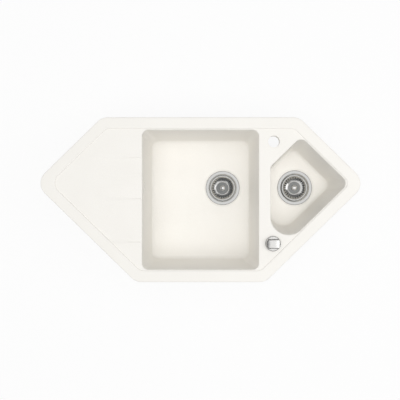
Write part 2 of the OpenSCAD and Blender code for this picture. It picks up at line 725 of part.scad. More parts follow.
// Drain pipes below the two wastes
main_mouth = main_top - body_drop;
small_mouth = small_top - body_drop;
elbow_bend = 38;
branch_x = 62;

module tee_pipe() {
  color("#D2D5D7") translate([main_drain[0], main_drain[1], 0]) difference() {
    union() {
      translate([0, 0, cross_z - 60]) cylinder(r = pipe_r, h = main_mouth + 20 - cross_z + 60, $fn = 96);
      translate([0, 0, cross_z - 26]) cylinder(r = pipe_r + 2, h = 52 - 14, $fn = 96);
      translate([0, 0, cross_z]) rotate([0, 90, 0]) cylinder(r = pipe_r, h = branch_x, $fn = 96);
      translate([branch_x - 26, 0, cross_z]) rotate([0, 90, 0]) cylinder(r = socket_r, h = 26, $fn = 96);
    }
    translate([0, 0, cross_z - 61]) cylinder(r = pipe_r - pipe_t, h = 300, $fn = 96);
    translate([0, 0, cross_z]) rotate([0, 90, 0]) cylinder(r = pipe_r - pipe_t, h = 100, $fn = 96);
    translate([branch_x - 22, 0, cross_z]) rotate([0, 90, 0]) cylinder(r = pipe_r + seat_gap, h = 40, $fn = 96);
  }
}

module elbow_drop(r, lap, z_end) {
  translate([0, 0, cross_z + elbow_bend - lap]) cylinder(r = r, h = z_end - cross_z - elbow_bend + lap, $fn = 96);
}

module elbow_turn(r) {
  translate([-elbow_bend, 0, cross_z + elbow_bend]) rotate([90, 0, 0]) rotate([0, 0, -90])
    rotate_extrude(angle = 90, $fn = 96) translate([elbow_bend, 0]) circle(r = r, $fn = 72);
}

module elbow_level(r, lap, x_end) {
  translate([x_end, 0, cross_z]) rotate([0, 90, 0]) cylinder(r = r, h = -elbow_bend - x_end + lap, $fn = 96);
}

module elbow_pipe() {
  x_mouth = -elbow_bend - 30;
  bore = pipe_r - pipe_t;
  color("#D2D5D7") translate([small_drain[0], small_drain[1], 0]) difference() {
    union() {
      elbow_drop(pipe_r, 0, small_mouth + 20);
      elbow_turn(pipe_r);
      elbow_level(pipe_r, 0, x_mouth + 10);
      translate([x_mouth, 0, cross_z]) rotate([0, 90, 0]) cylinder(r = socket_r, h = 26, $fn = 96);
    }
    elbow_drop(bore, e, small_mouth + 40);
    elbow_turn(bore);
    elbow_level(bore, e, x_mouth - 5);
    translate([x_mouth - 10, 0, cross_z]) rotate([0, 90, 0]) cylinder(r = pipe_r + seat_gap, h = 32, $fn = 96);
  }
}

module cross_pipe() {
  x0 = main_drain[0] + branch_x - 21;
  x1 = small_drain[0] - elbow_bend - 9;
  color("#C4C8CA") translate([x0, main_drain[1], cross_z]) rotate([0, 90, 0]) difference() {
    cylinder(r = pipe_r, h = x1 - x0, $fn = 96);
    translate([0, 0, -1]) cylinder(r = pipe_r - pipe_t, h = x1 - x0 + 2, $fn = 96);
  }
}

// The four places where a pipe enters a threaded mouth: the mouth is at z = 0, the pipe leaves downwards
module at_mouths() {
  translate([main_drain[0], main_drain[1], main_mouth]) children();
  translate([small_drain[0], small_drain[1], small_mouth]) children();
  translate([main_drain[0] + branch_x, main_drain[1], cross_z]) rotate([0, -90, 0]) children();
  translate([small_drain[0] - elbow_bend - 30, main_drain[1], cross_z]) rotate([0, 90, 0]) children();
}

module slip_washers() {
  color("#3A3B3C") at_mouths() difference() {
    translate([0, 0, -3]) cylinder(r = socket_r - 0.5, h = 3, $fn = 96);
    translate([0, 0, -4]) cylinder(r = pipe_r, h = 6, $fn = 96);
  }
}

module slip_nuts() {
  color("#DEE0E2") at_mouths() translate([0, 0, 14]) rotate([180, 0, 0])
    union_nut(socket_r, pipe_r + seat_gap, 20, 12);
}

// Clamps round the edge: each hook hangs on its screw and swings out under the worktop
module at_clamp(c) {
  i = c[0];
  p = inset(rim_line, clamp_in);
  q = cyc(p, i) + (cyc(p, i + 1) - cyc(p, i)) * c[1];
  translate([q[0], q[1], 0]) rotate([0, 0, heading_angle(outward(heading(p, i)))]) children();
}

module clamp_inserts() {
  color("#B7A36A") for (c = clamps) at_clamp(c) difference() {
    translate([0, 0, under_z]) cylinder(r = 4.5, h = 7.9, $fn = 48);
    translate([0, 0, under_z - 1]) cylinder(r = 2.5, h = 8, $fn = 32);
  }
}

module clamp_screws() {
  color("#B8BBBF") for (c = clamps) at_clamp(c) {
    translate([0, 0, screw_foot - 3]) cylinder(r = 2.5, h = under_z + 6.5 - screw_foot + 3, $fn = 32);
    translate([0, 0, screw_foot - 4]) cylinder(r = 5, h = 4, $fn = 6);
  }
}

module hook(i) {
  color("#AEB1B5") at_clamp(clamps[i - 1]) rotate([0, 0, 90]) difference() {
    union() {
      translate([0, 0, screw_foot]) cylinder(r = 6, h = 2, $fn = 48);
      translate([0, -6, screw_foot]) cube([34, 12, 2]);
      translate([32, -6, screw_foot]) cube([2, 12, 4]);
      translate([8, -6, screw_foot + 1]) cube([20, 1.5, 5]);
      translate([8, 4.5, screw_foot + 1]) cube([20, 1.5, 5]);
    }
    translate([0, 0, screw_foot - 5]) cylinder(r = 2.5 + run_gap, h = 20, $fn = 32);
  }
}

sink_body();
rim_seal();
main_strainer_cup();
main_top_seal();
main_lower_seal();
main_waste_body();
main_clamp_bolt();
main_basket();
main_basket_seal();
main_basket_knob();
small_strainer_cup();
small_top_seal();
small_lower_seal();
small_waste_body();
small_clamp_bolt();
small_basket();
small_basket_seal();
small_basket_knob();
lift_pin();
lift_lever();
lever_cable_gland();
control_knob();
knob_rosette();
knob_gasket();
knob_housing();
knob_backnut();
knob_drum();
drum_cover();
drum_cable_gland();
overflow_gasket();
overflow_elbow();
overflow_screws();
overflow_pipe();
overflow_nuts();
tee_pipe();
elbow_pipe();
cross_pipe();
slip_nuts();
slip_washers();
clamp_inserts();
clamp_screws();
hook(1);  // clamp_hook_1
hook(2);  // clamp_hook_2
hook(3);  // clamp_hook_3
hook(4);  // clamp_hook_4
hook(5);  // clamp_hook_5
hook(6);  // clamp_hook_6
hook(7);  // clamp_hook_7
hook(8);  // clamp_hook_8
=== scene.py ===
# %% [markdown]
# # A corner kitchen sink in cream granite composite
#
# The sink is one moulding of quartz sand and acrylic resin: a raised rim, a deck with a drainer,
# a main bowl and a small five-sided bowl. Under it hang two basket strainers, their pipes, an
# overflow and the clamps. The engineering model already holds every piece at its true size. This
# lesson gives each piece its finish, and builds some of them again as finer surfaces: the moulding,
# because a moulded stone edge is read from its roundings, and the knobs and baskets, because
# polished metal shows every facet.

import json
import math

import bmesh
import bpy
import numpy as np
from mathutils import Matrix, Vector
from mathutils.geometry import delaunay_2d_cdt


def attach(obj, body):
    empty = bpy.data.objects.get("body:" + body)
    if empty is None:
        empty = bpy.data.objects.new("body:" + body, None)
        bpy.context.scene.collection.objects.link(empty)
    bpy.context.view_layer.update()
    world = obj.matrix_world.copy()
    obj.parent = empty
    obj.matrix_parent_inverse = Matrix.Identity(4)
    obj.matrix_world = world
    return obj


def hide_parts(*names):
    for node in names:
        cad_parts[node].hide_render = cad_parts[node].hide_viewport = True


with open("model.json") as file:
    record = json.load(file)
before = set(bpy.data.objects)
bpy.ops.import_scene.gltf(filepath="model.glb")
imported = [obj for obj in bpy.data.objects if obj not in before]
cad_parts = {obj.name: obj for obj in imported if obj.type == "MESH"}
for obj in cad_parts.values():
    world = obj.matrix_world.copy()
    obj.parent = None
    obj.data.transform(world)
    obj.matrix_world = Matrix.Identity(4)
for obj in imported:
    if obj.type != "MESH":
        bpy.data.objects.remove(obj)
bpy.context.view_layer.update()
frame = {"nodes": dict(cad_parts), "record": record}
NODES = frame["nodes"]
print("pieces in the frame:", len(NODES))

# %% [markdown]
# ## Sizes
#
# The moulding is drawn in millimetres, like its data sheet, and becomes metres in one place. The
# worktop surface is z = 0, the rim stands 8 mm above it, and the user stands on the -Y side. The
# slanted edges all run in one direction, so the whole outline follows from its width, its depth
# and that direction.

# %% Driving sizes of the moulding, in millimetres
MM = 0.001
OVERALL_W, OVERALL_D = 970.0, 500.0
TIP_Y = 50.0  # how far behind the middle the two side corners lie
SLANT = np.array([0.715653, 0.698456])  # direction of the slanted edges
CORNER_R = 44.0
RIM_H, DECK_Z, SEAT_Z, UNDER_Z = 8.0, 5.0, 0.0, -5.0
RIM_W, RIM_FLAT, RIM_EDGE_R, STEP_R = 35.0, 32.0, 4.0, 3.0
DECK_CORNER_R = np.array([32.0, 32.0, 22.0, 32.0, 32.0, 32.0])
BOWL_EDGE_R, FLOOR_R, DRAFT = 3.0, 12.0, 12.0
SHELL_OFF, SHELL_R = 5.0, 19.0  # how far out a bowl's outside lies, and its foot's rounding
SHELL_TAPER, SHELL_LEAST_R = 0.3, 8.0  # how its corners narrow downwards, and to what
MAIN_W, MAIN_FLOOR, SMALL_FLOOR, FLOOR_T = 360.0, -182.0, -146.0, 10.0
MAIN_DRAIN, SMALL_DRAIN = np.array([76.0, 40.0]), np.array([315.0, 40.0])
SMALL_LEFT, SMALL_TURN_Y = 210.0, 102.0
TAP_AT, KNOB_AT = np.array([223.0, 176.4]), np.array([219.5, -133.0])
DECK_HOLE_R, HOLE_BOSS_R = 17.5, 26.2
SLIT = 0.05  # where a bowl edge runs along the rim, a strip this wide keeps the deck in one piece

half_tip = math.atan2(SLANT[1], SLANT[0])
slope = SLANT[0] / SLANT[1]
tip_x = OVERALL_W / 2 + CORNER_R * (1 / math.sin(half_tip) - 1)
front_half = tip_x - slope * (OVERALL_D / 2 + TIP_Y)
back_half = tip_x - slope * (OVERALL_D / 2 - TIP_Y)
RIM_LINE = np.array([
    [-front_half, -OVERALL_D / 2], [front_half, -OVERALL_D / 2], [tip_x, TIP_Y],
    [back_half, OVERALL_D / 2], [-back_half, OVERALL_D / 2], [-tip_x, TIP_Y]])
print("front edge", round(2 * front_half, 1), "back edge", round(2 * back_half, 1))

# %% [markdown]
# ## Loops
#
# Every moulded edge here follows an outline at some distance. So the one helper that matters draws
# a rounded outline as a loop with a fixed number of points: the same arc points at each corner and
# the same stations along each edge. Two such loops at different insets and heights can be joined
# point to point, which gives clean strips of quads that bend only where the stone does.

# %% Loops of points
ARC_POINTS = 13


def inset_corners(corners, inset):
    """Each edge of a convex outline moves inwards by its inset, and neighbours meet again: the
    corner lies where the two shifted lines cross."""
    inset = np.broadcast_to(inset, len(corners)).astype(float)
    ahead = np.roll(corners, -1, 0) - corners
    ahead /= np.linalg.norm(ahead, axis=1)[:, None]
    inward = np.stack([-ahead[:, 1], ahead[:, 0]], 1)
    before, n_before, d_before = np.roll(ahead, 1, 0), np.roll(inward, 1, 0), np.roll(inset, 1)
    cross = before[:, 0] * ahead[:, 1] - before[:, 1] * ahead[:, 0]
    gap = inset[:, None] * inward - d_before[:, None] * n_before
    along = (gap[:, 0] * ahead[:, 1] - gap[:, 1] * ahead[:, 0]) / cross
    return corners + d_before[:, None] * n_before + along[:, None] * before


def rounded_loop(line, inset, radii, stations):
    """A convex outline moved inwards, with rounded corners: an arc of equal steps about each
    corner's centre, then the stations, given as distances from the middle of the full edge."""
    corners = inset_corners(line, inset)
    ahead = np.roll(line, -1, 0) - line
    ahead /= np.linalg.norm(ahead, axis=1)[:, None]
    middle = (line + np.roll(line, -1, 0)) / 2 + inset * np.stack([-ahead[:, 1], ahead[:, 0]], 1)
    before = np.roll(ahead, 1, 0)
    turn = np.arccos(np.clip((before * ahead).sum(1), -1, 1))
    inward = np.stack([-before[:, 1], before[:, 0]], 1)
    radii = np.broadcast_to(radii, len(corners)).astype(float)
    centre = corners - before * (radii * np.tan(turn / 2))[:, None] + inward * radii[:, None]
    points = []
    for i in range(len(corners)):
        angle = turn[i] * np.linspace(0, 1, ARC_POINTS)
        out = -inward[i]
        across, along = np.outer(np.cos(angle), out), np.outer(np.sin(angle), before[i])
        points.append(centre[i] + radii[i] * (across + along))
        points.append(middle[i] + np.outer(stations[i], ahead[i]))
    return np.vstack(points)


def even_stations(corners, spread, step=7.0):
    """Distances from each edge's middle, evenly spaced, clear of the arcs at its ends: an arc
    reaches along the edge by (inset + radius) times the tangent of half the turn; spread is that
    sum's largest value at each corner."""
    ahead = np.roll(corners, -1, 0) - corners
    length = np.linalg.norm(ahead, axis=1)
    ahead /= length[:, None]
    turn = np.arccos(np.clip((np.roll(ahead, 1, 0) * ahead).sum(1), -1, 1))
    reach = np.tan(turn / 2) * np.broadcast_to(spread, len(corners)) + 2
    first, last = -length / 2 + reach, length / 2 - np.roll(reach, -1)
    return [np.linspace(a, b, max(2, int((b - a) / step))) for a, b in zip(first, last)]


def circle_loop(centre, radius, count=72):
    """A circle of count points, counter-clockwise from +X."""
    angle = np.linspace(0, 2 * math.pi, count, endpoint=False)
    return centre + radius * np.stack([np.cos(angle), np.sin(angle)], 1)


def raised(loop, z):
    """A flat loop lifted to the height z, a number or one height a point."""
    return np.column_stack([loop, np.broadcast_to(z, len(loop))])


rim_outline = rounded_loop(RIM_LINE, 0, CORNER_R, even_stations(RIM_LINE, RIM_W + DECK_CORNER_R))
print("rim outline:", len(rim_outline), "points")

# %% [markdown]
# ## The draining area
#
# Left of the main bowl the deck sinks in a shallow ramp, and inside it lies a narrower and deeper
# one. Both fall towards the bowl, so water runs off. A height field is the plain way to say this:
# one function of x and y gives the depth, and every surface that touches the deck asks it.

# %% How deep the deck lies
BOWL_SIDE_X = -MAIN_W / 2
WIDE_RAMP = dict(start=-360.0, depth=2.5, low=(-130.0, -127.0), high=(126.0, 129.0))
DEEP_RAMP = dict(start=-322.0, depth=2.4, low=(2.0, 5.0), high=(64.5, 73.4))


def eased(t):
    """A smooth step: flat at 0 and at 1, steepest between."""
    t = np.clip(t, 0, 1)
    return t * t * (3 - 2 * t)


def ramp_depth(x, y, start, depth, low, high):
    """A plane that falls from 0 at start to depth at the bowl, between two eased side walls."""
    fall = np.clip((x - start) / (BOWL_SIDE_X - start), 0, 1) * depth
    sides = eased((y - low[0]) / (low[1] - low[0])) * eased((high[1] - y) / (high[1] - high[0]))
    return fall * sides * (x < BOWL_SIDE_X + 30)


def deck_depth(x, y):
    """Millimetres by which the deck lies below its general level."""
    return ramp_depth(x, y, **WIDE_RAMP) + ramp_depth(x, y, **DEEP_RAMP)


print("depth at the bowl:", round(float(deck_depth(BOWL_SIDE_X, 35.0)), 2), "mm")

# %% [markdown]
# ## Sections
#
# A section says how far in from the outline, how high and with what corner radius each loop lies.
# The rim's section starts under the seat, goes round the seal groove, up the outer wall, over the
# rounded edge and the flat rim, and down the inner step. A bowl's section starts at its rounded
# upper edge, follows the leaning wall, turns through the rounding into the floor, crosses the
# strainer's recess, goes down the bore, and comes back up round the outside of the shell. Each is
# one unbroken line, so the moulding is closed without any joining.

# %% Sections of the rim and of a bowl
def arc(centre, radius, start, end, count):
    """Points of an arc in a section, from one direction in degrees to another."""
    angle = np.radians(np.linspace(start, end, count))
    return np.stack([centre[0] + radius * np.cos(angle), centre[1] + radius * np.sin(angle)], 1)


def rim_section():
    """(inset, height) and the corner radii of each loop, from under the seat to the foot of the
    step; between the two rounded edges the radii change evenly."""
    seat = [(10, UNDER_Z), (10, SEAT_Z), (8.5, SEAT_Z), (8.5, 1.5), (3.5, 1.5), (3.5, SEAT_Z),
            (0.4, SEAT_Z), (0, 0.4)]
    outer = arc((RIM_EDGE_R, RIM_H - RIM_EDGE_R), RIM_EDGE_R, 180, 90, 9)
    flat = [(12, RIM_H), (22, RIM_H)]
    step = arc((RIM_FLAT, RIM_H - STEP_R), STEP_R, 90, 0, 7)
    path = np.vstack([seat, outer, flat, step])
    share = np.clip((path[:, :1] - RIM_EDGE_R) / (RIM_FLAT - RIM_EDGE_R), 0, 1)
    outer_radius = CORNER_R - np.minimum(path[:, :1], RIM_EDGE_R)
    inner_radius = DECK_CORNER_R + STEP_R - np.maximum(path[:, :1] - RIM_FLAT, 0)
    return path, outer_radius + share * (inner_radius - outer_radius)


def wall_and_floor(floor, top, start, rounding, lean):
    """A leaning wall from (start, top) that meets the floor through a rounding: the wall's foot,
    the arc, and the arc's end on the floor."""
    tilt = math.degrees(math.atan(lean / (top - floor)))
    wall_in = start + lean * (top - floor - rounding) / (top - floor)
    centre_in = wall_in + rounding / math.cos(math.radians(tilt))
    return arc((centre_in, floor + rounding), rounding, 180 + tilt, 270, 10)


def bowl_section(floor, edge_radii, foot_radii, floor_radii):
    """(inset, height, corner radii) down the inside of a bowl, from the deck to the flat floor."""
    edge = arc((0, DECK_Z - BOWL_EDGE_R), BOWL_EDGE_R, 90, 0, 7)
    top = edge[-1]
    foot = wall_and_floor(floor, top[1], top[0], FLOOR_R, DRAFT)
    share = np.array([0.08, 0.2, 0.4, 0.6, 0.8])[:, None]
    wall = top + share * (foot[0] - top)
    path = np.vstack([edge, wall, foot])
    down = np.clip((top[1] - path[:, 1]) / (top[1] - foot[0, 1]), 0, 1)[:, None]
    into = np.clip((path[:, 0] - foot[0, 0]) / (foot[-1, 0] - foot[0, 0]), 0, 1)[:, None]
    radii = edge_radii + down * (foot_radii - edge_radii) + into * (floor_radii - foot_radii)
    return path, radii


def shell_section(floor, corner_radii):
    """(inset, height, corner radii) up the outside of a bowl's shell, from floor to deck."""
    foot = wall_and_floor(floor - FLOOR_T, UNDER_Z, 0.0, SHELL_R, DRAFT)
    path = np.vstack([foot[::-1], [[0.0, UNDER_Z]]])
    path[:, 0] -= SHELL_OFF
    narrowed = corner_radii + SHELL_OFF - np.maximum(path[:, :1], 0) * SHELL_TAPER
    radii = np.maximum(narrowed, SHELL_LEAST_R)
    return path, radii


def drain_section(floor):
    """(radius, height) from the floor through dish, recess and bore to the underside."""
    dish = floor - 2.8
    return np.array([
        [64.6, floor], [63.9, floor - 0.15], [59.9, dish + 0.25], [59.2, dish], [58.7, dish - 0.2],
        [58.5, dish - 0.6], [58.5, dish - 2.2], [49.0, dish - 2.2], [45.0, dish - 6.2],
        [45.0, dish - 11.2], [66.0, dish - 11.2], [66.0, floor - FLOOR_T]])


print("rim section:", len(rim_section()[0]), "loops")

# %% [markdown]
# ## From loops to a mesh
#
# Strips of quads join neighbouring loops. What is left between the loops, the deck above and the
# flat underside, is filled by a constrained Delaunay triangulation: it keeps the loops and the
# edges of the ramps as they are, and puts a grid of points between them for the height field.

# %% Strips and fills
OFF_GRID = 0.013  # shifts the filling points off the outlines' round coordinates
FREE_SHARE = 0.45  # share of their spacing that the filling points keep from every fixed point
LEAST_FACE = 0.001  # a triangle is dropped where twice its area is less, in square millimetres
MERGE_MM = 0.004


class Surface:
    """Vertices and faces gathered piece by piece."""

    def __init__(self):
        self.points, self.faces, self.count = [], [], 0

    def add(self, points, faces):
        self.points.append(points)
        self.faces += (np.asarray(faces) + self.count).tolist()
        self.count += len(points)

    def strip(self, loops):
        """Quads between neighbouring loops of equal length, closed round each loop."""
        loops = np.asarray(loops)
        rows, width = loops.shape[:2]
        r, c = np.meshgrid(np.arange(rows - 1), np.arange(width), indexing="ij")
        ahead = (c + 1) % width
        quads = np.stack([r * width + c, r * width + ahead,
                          (r + 1) * width + ahead, (r + 1) * width + c], -1)
        self.add(loops.reshape(-1, 3), quads.reshape(-1, 4))

    def fill(self, outer, holes, lines, height, spacing):
        """Triangles inside the outer loop and outside the holes, lifted to height(x, y)."""
        loops = [outer, *holes]
        low, high = outer.min(0), outer.max(0)
        across, along = (np.arange(a, b, spacing) for a, b in zip(low, high))
        grid = np.stack(np.meshgrid(across, along), -1).reshape(-1, 2) + OFF_GRID
        fixed = np.vstack(loops + lines)
        inner = within(grid, outer) & ~np.any([within(grid, hole) for hole in holes], 0)
        clear = np.linalg.norm(grid[:, None] - fixed[None], axis=2).min(1) > spacing * FREE_SHARE
        grid = grid[inner & clear]
        edges, start = [], 0
        for loop in loops:
            index = np.arange(len(loop))
            edges += np.stack([start + index, start + (index + 1) % len(loop)], 1).tolist()
            start += len(loop)
        for line in lines:
            index = np.arange(len(line) - 1)
            edges += np.stack([start + index, start + index + 1], 1).tolist()
            start += len(line)
        flat = [Vector(p) for p in np.vstack([fixed, grid]).tolist()]
        points, _, faces, *_ = delaunay_2d_cdt(flat, edges, [], 0, 1e-5)
        points, faces = np.array(points), np.array(faces)
        middle = points[faces].mean(1)
        keep = within(middle, outer) & ~np.any([within(middle, hole) for hole in holes], 0)
        first = points[faces[:, 0]]
        side, other = points[faces[:, 1]] - first, points[faces[:, 2]] - first
        keep &= np.abs(side[:, 0] * other[:, 1] - side[:, 1] * other[:, 0]) > LEAST_FACE
        self.add(raised(points, height(points[:, 0], points[:, 1])), faces[keep])

    def mesh(self, name):
        """The gathered surface as one mesh in metres, doubles merged and faces turned outwards."""
        mesh = bpy.data.meshes.new(name)
        mesh.from_pydata((np.vstack(self.points) * MM).tolist(), [], self.faces)
        work = bmesh.new()
        work.from_mesh(mesh)
        bmesh.ops.remove_doubles(work, verts=work.verts, dist=MERGE_MM * MM)
        bmesh.ops.recalc_face_normals(work, faces=work.faces)
        work.to_mesh(mesh)
        work.free()
        return mesh


def within(points, loop):
    """Which points lie inside a loop: those whose ray to the right crosses it an odd number of
    times."""
    a, b = loop, np.roll(loop, -1, 0)
    x, y = points[:, :1], points[:, 1:2]
    spans = (a[:, 1] > y) != (b[:, 1] > y)
    rise = np.where(b[:, 1] == a[:, 1], 1e-12, b[:, 1] - a[:, 1])
    crossing = a[:, 0] + (y - a[:, 1]) * (b[:, 0] - a[:, 0]) / rise
    return (spans & (x < crossing)).sum(1) % 2 == 1


# %% [markdown]
# ## The moulding
#
# The deck inside the rim is bounded by the foot of the step. Both bowls run along it: the main bowl
# at the front and the back, the small bowl on the two slanted sides on the right. That is why the
# outlines are worked out from the same inset lines and not drawn by themselves.

# %% Outlines of the bowls
DECK_LINE = inset_corners(RIM_LINE, RIM_W)
MAIN_HALF = OVERALL_D / 2 - RIM_W - SLIT
MAIN_LINE = np.array([[-MAIN_W / 2, -MAIN_HALF], [MAIN_W / 2, -MAIN_HALF],
                      [MAIN_W / 2, MAIN_HALF], [-MAIN_W / 2, MAIN_HALF]])
inner = inset_corners(RIM_LINE, RIM_W + SLIT)
run = (inner[2, 0] - SMALL_LEFT) / (2 * slope) + (inner[2, 1] - SMALL_TURN_Y) / 2
front_y = inner[1, 1] + (SMALL_LEFT - inner[1, 0]) / slope
SMALL_LINE = np.array([[SMALL_LEFT, front_y], inner[2],
                       [SMALL_LEFT + slope * run, SMALL_TURN_Y + run], [SMALL_LEFT, SMALL_TURN_Y]])
print("small bowl corners:", SMALL_LINE.round(1).tolist())


# %% Bowls
RAMP_FADE_Z = -30.0  # from here up, a bowl's wall follows the ramps of the deck more and more
FLOOR_RING = 32.0  # half a strainer's radius: a loop of the floor lies midway from it to the wall
MAIN_RADII = np.full(4, 19.0), np.full(4, 27.0), np.full(4, 18.0)
SMALL_RADII = (np.array([54.0, 22.0, 22.0, 17.0]), np.array([50.0, 27.0, 27.0, 24.0]),
               np.array([40.0, 18.0, 18.0, 16.0]))


def bowl(surface, line, floor, drain, edge_radii, foot_radii, floor_radii):
    """One bowl, inside and outside, as a single strip; returns its deck loop and its shell loop.
    The corner radii are given at the upper edge, at the wall's foot and on the floor."""
    path, radii = bowl_section(floor, edge_radii, foot_radii, floor_radii)
    out_path, out_radii = shell_section(floor, edge_radii)
    spread = np.vstack([path[:, :1] + radii, out_path[:, :1] + out_radii]).max(0)
    stations = even_stations(line, spread)
    flat = [rounded_loop(line, inset, r, stations) for inset, r in zip(path[:, 0], radii)]
    follow = np.interp(path[:, 1], [RAMP_FADE_Z, DECK_Z - BOWL_EDGE_R], [0.0, 1.0])
    loops = [raised(loop, z - share * deck_depth(loop[:, 0], loop[:, 1]))
             for loop, z, share in zip(flat, path[:, 1], follow)]
    away = flat[-1] - drain
    ray = away / np.linalg.norm(away, axis=1)[:, None]
    half_way = drain + away * 0.5 + ray * FLOOR_RING
    loops.append(raised(half_way, floor))
    loops += [raised(drain + ray * r, z) for r, z in drain_section(floor)]
    shell = [rounded_loop(line, inset, r, stations) for inset, r in zip(out_path[:, 0], out_radii)]
    loops += [raised(loop, z) for loop, z in zip(shell, out_path[:, 1])]
    surface.strip(loops)
    return flat[0], shell[-1]


surface = Surface()
main_top, main_shell = bowl(surface, MAIN_LINE, MAIN_FLOOR, MAIN_DRAIN, *MAIN_RADII)
small_top, small_shell = bowl(surface, SMALL_LINE, SMALL_FLOOR, SMALL_DRAIN, *SMALL_RADII)
print("bowls:", surface.count, "points")

# %% Rim, deck, holes and underside
rim_path, rim_radii = rim_section()
rim_stations = even_stations(RIM_LINE, (rim_path[:, :1] + rim_radii).max(0))
rim_loops = [rounded_loop(RIM_LINE, inset, r, rim_stations)
             for inset, r in zip(rim_path[:, 0], rim_radii)]
rim_heights = [np.full(len(loop), z) for loop, z in zip(rim_loops, rim_path[:, 1])]
rim_heights[-1] = DECK_Z - deck_depth(*rim_loops[-1].T)
surface.strip([raised(loop, z) for loop, z in zip(rim_loops, rim_heights)])

HOLE_ROUND, BOSS_Z = 0.6, UNDER_Z - 7
HOLE_SECTION = [(DECK_HOLE_R + HOLE_ROUND, DECK_Z), (DECK_HOLE_R + 0.2, DECK_Z - 0.2),
                (DECK_HOLE_R, DECK_Z - 0.7), (DECK_HOLE_R, BOSS_Z), (HOLE_BOSS_R, BOSS_Z),
                (HOLE_BOSS_R, UNDER_Z)]
DECK_SPACING, UNDER_SPACING, RAMP_SPACING = 8.0, 25.0, 6
for place in (TAP_AT, KNOB_AT):
    surface.strip([raised(circle_loop(place, r), z) for r, z in HOLE_SECTION])


def ramp_line(y, start):
    """A ramp's edge, from its start or from the rim's step, whichever comes later, to the bowl."""
    low, high = inner[5], inner[0]
    step_x = low[0] + (high[0] - low[0]) * (low[1] - y) / (low[1] - high[1]) if y < TIP_Y else start
    first = max(start, step_x + 3)
    x = np.linspace(first, BOWL_SIDE_X - 1.5, int((BOWL_SIDE_X - first) / RAMP_SPACING))
    return np.stack([x, np.full(len(x), y)], 1)


wide_edges = (*WIDE_RAMP["low"], *WIDE_RAMP["high"])
deep_edges = (*DEEP_RAMP["low"], 67.5, 70.5, *DEEP_RAMP["high"])
ramp_lines = [ramp_line(y, WIDE_RAMP["start"] + 2) for y in wide_edges]
ramp_lines += [ramp_line(y, DEEP_RAMP["start"] + 2) for y in deep_edges]
holes = [circle_loop(place, DECK_HOLE_R + HOLE_ROUND) for place in (TAP_AT, KNOB_AT)]
surface.fill(rim_loops[-1], [main_top, small_top, *holes], ramp_lines,
             lambda x, y: DECK_Z - deck_depth(x, y), DECK_SPACING)
bosses = [circle_loop(place, HOLE_BOSS_R) for place in (TAP_AT, KNOB_AT)]
surface.fill(rim_loops[0], [main_shell, small_shell, *bosses], [],
             lambda x, y: np.full(len(x), UNDER_Z), UNDER_SPACING)
moulding = surface.mesh("sink_moulding")
print("moulding:", len(moulding.vertices), "vertices,", len(moulding.polygons), "faces")

# %% [markdown]
# The overflow slot is milled through the left wall of the main bowl after moulding, so it is cut
# the same way here: a slot-shaped cutter and one exact boolean. The thicker pad behind it, where
# the overflow fitting is screwed on, is joined to the shell first.

# %% Overflow slot
OVERFLOW_Y, OVERFLOW_Z, SLOT_L, SLOT_H = 40.0, -35.0, 31.0, 9.0
PAD_X, PAD_W, PAD_H, PAD_T = -196.0, 60.0, 30.0, 20.0
SHARP_FROM = math.radians(32)


def closed_prism(section, x_start, x_end, name):
    """A section in y and z pulled along x, with both ends closed by one face each."""
    ends = [np.column_stack([np.full(len(section), x), section]) for x in (x_start, x_end)]
    count = len(section)
    ahead = (np.arange(count) + 1) % count
    sides = np.stack([np.arange(count), ahead, ahead + count, np.arange(count) + count], 1).tolist()
    mesh = bpy.data.meshes.new(name)
    mesh.from_pydata((np.vstack(ends) * MM).tolist(), [],
                     sides + [list(range(count))[::-1], list(range(count, 2 * count))])
    work = bmesh.new()
    work.from_mesh(mesh)
    bmesh.ops.recalc_face_normals(work, faces=work.faces)
    work.to_mesh(mesh)
    work.free()
    return bpy.data.objects.new(name, mesh)


def combined(piece, tool, operation):
    """The piece after one exact boolean with the tool, which is then removed."""
    for thing in (piece, tool):
        if thing.name not in bpy.context.scene.collection.objects:
            bpy.context.scene.collection.objects.link(thing)
    step = piece.modifiers.new(operation.lower(), "BOOLEAN")
    step.object, step.operation, step.solver = tool, operation, "EXACT"
    evaluated = piece.evaluated_get(bpy.context.evaluated_depsgraph_get())
    done = bpy.data.meshes.new_from_object(evaluated)
    piece.modifiers.clear()
    piece.data = done
    bpy.data.objects.remove(tool)


sink = bpy.data.objects.new("sink_moulding", moulding)
half_w, half_h = PAD_W / 2, PAD_H / 2
pad_section = np.array([[-half_w, -half_h], [half_w, -half_h], [half_w, half_h], [-half_w, half_h]])
pad_section = pad_section + [OVERFLOW_Y, OVERFLOW_Z]
combined(sink, closed_prism(pad_section, PAD_X, PAD_X + PAD_T, "pad"), "UNION")
slot_section = np.vstack([arc((SLOT_L / 2 - SLOT_H / 2, 0), SLOT_H / 2, -90, 90, 13),
                          arc((SLOT_H / 2 - SLOT_L / 2, 0), SLOT_H / 2, 90, 270, 13)])
slot_section = slot_section + [OVERFLOW_Y, OVERFLOW_Z]
combined(sink, closed_prism(slot_section, PAD_X - 5, PAD_X + 45, "slot_cutter"), "DIFFERENCE")
sink.data.polygons.foreach_set("use_smooth", np.ones(len(sink.data.polygons), bool))
sink.data.set_sharp_from_angle(angle=SHARP_FROM)
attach(sink, "sink")
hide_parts("sink_body")
print("sink after cutting:", len(sink.data.polygons), "faces")

# %% [markdown]
# ## Knobs
#
# The knob that works the waste is a zinc casting, chromed: a disc with a straight grip across it,
# and a hollow for the fingers in front of it and behind. One height over x and y says all of that,
# so its top is a grid of points on the disc, lifted to that height. The small knobs of the
# baskets are turned, so they are a section carried round a circle; their domed caps gather the
# light in one spot.

